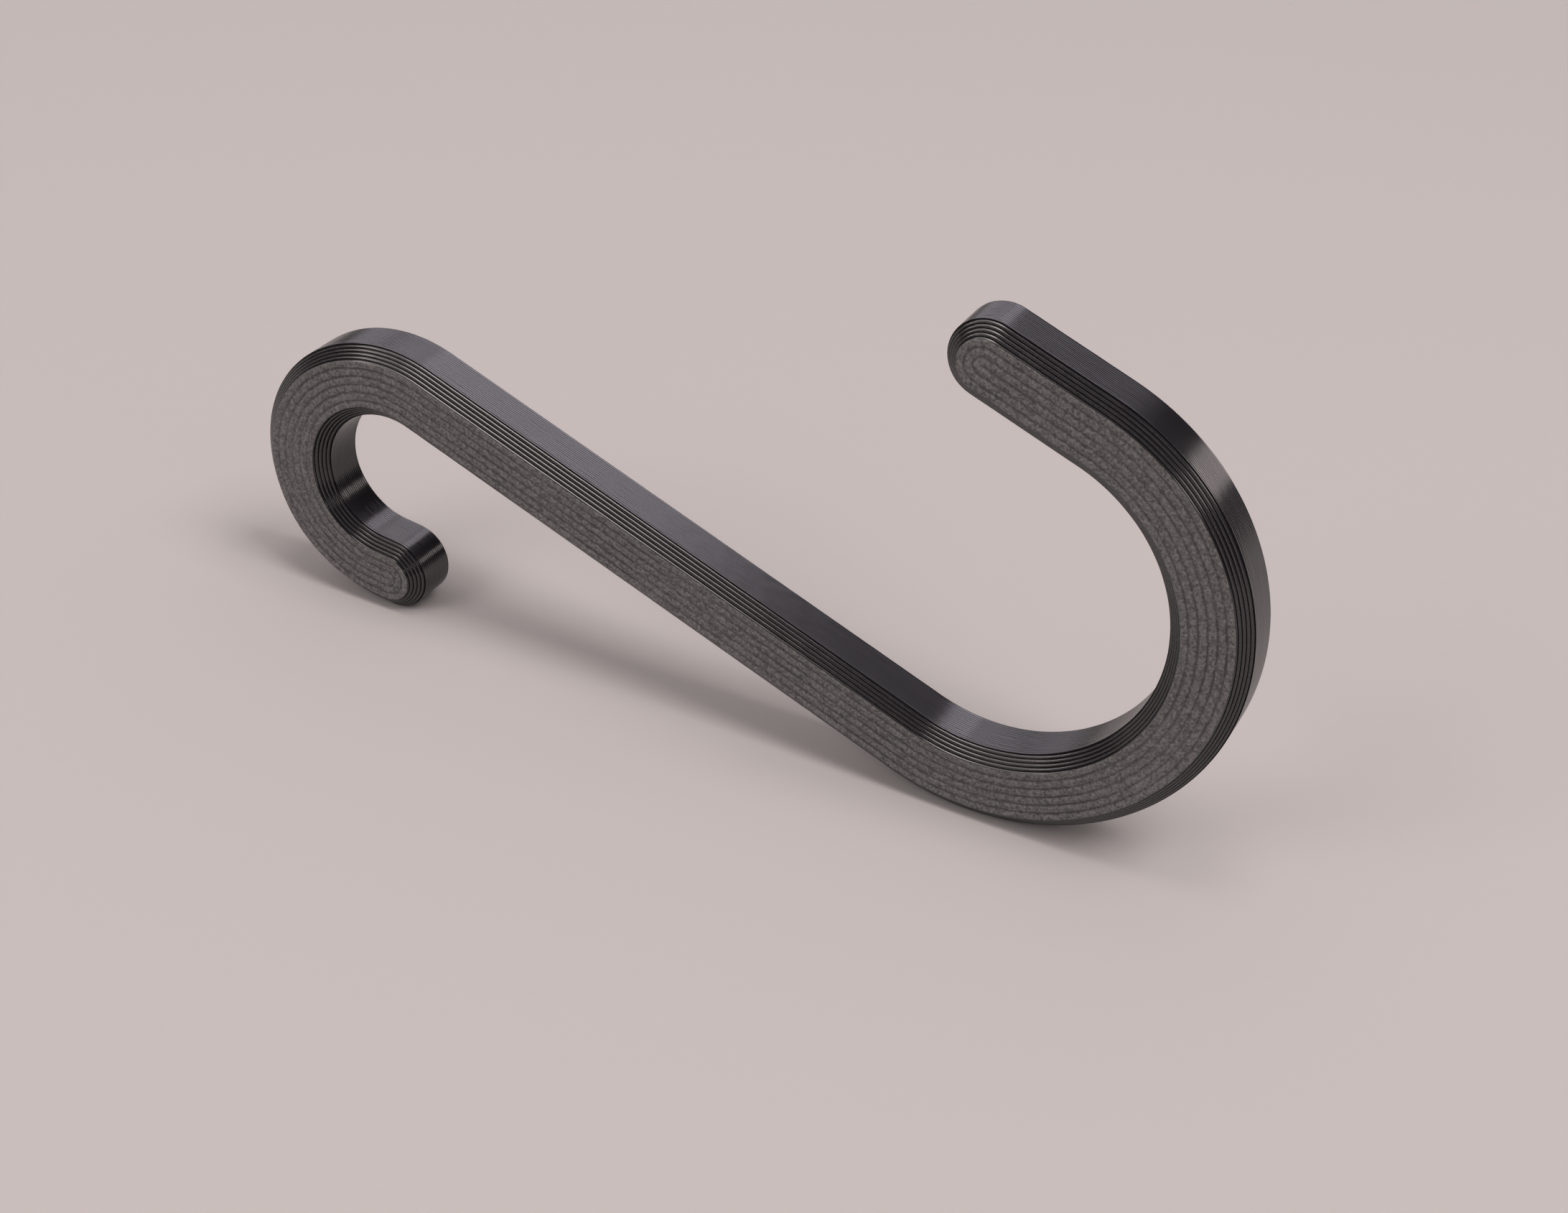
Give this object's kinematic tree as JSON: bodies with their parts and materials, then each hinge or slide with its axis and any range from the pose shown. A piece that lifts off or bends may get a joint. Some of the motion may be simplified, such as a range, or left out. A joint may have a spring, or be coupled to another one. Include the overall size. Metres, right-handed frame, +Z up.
{
  "type": "s hook",
  "caption": "S-shaped printed hook with a small open hook and a large open hook at opposite ends of a straight shank, for hanging things from a thin rail or wire.",
  "frame": {"origin": "middle of the hook's length and thickness, on the surface it stands on", "axes": "+Z up, +X along the length towards the large hook, +Y through the thickness, away from the face that the picture shows"},
  "size_m": [0.0744, 0.005, 0.0359],
  "materials": {
    "printed_plastic": "charcoal filament print: satin side walls with fine layer lines, dull grained faces with beads along the outline"
  },
  "bodies": {
    "root": {"s_hook": "printed_plastic"}
  },
  "joints": []
}
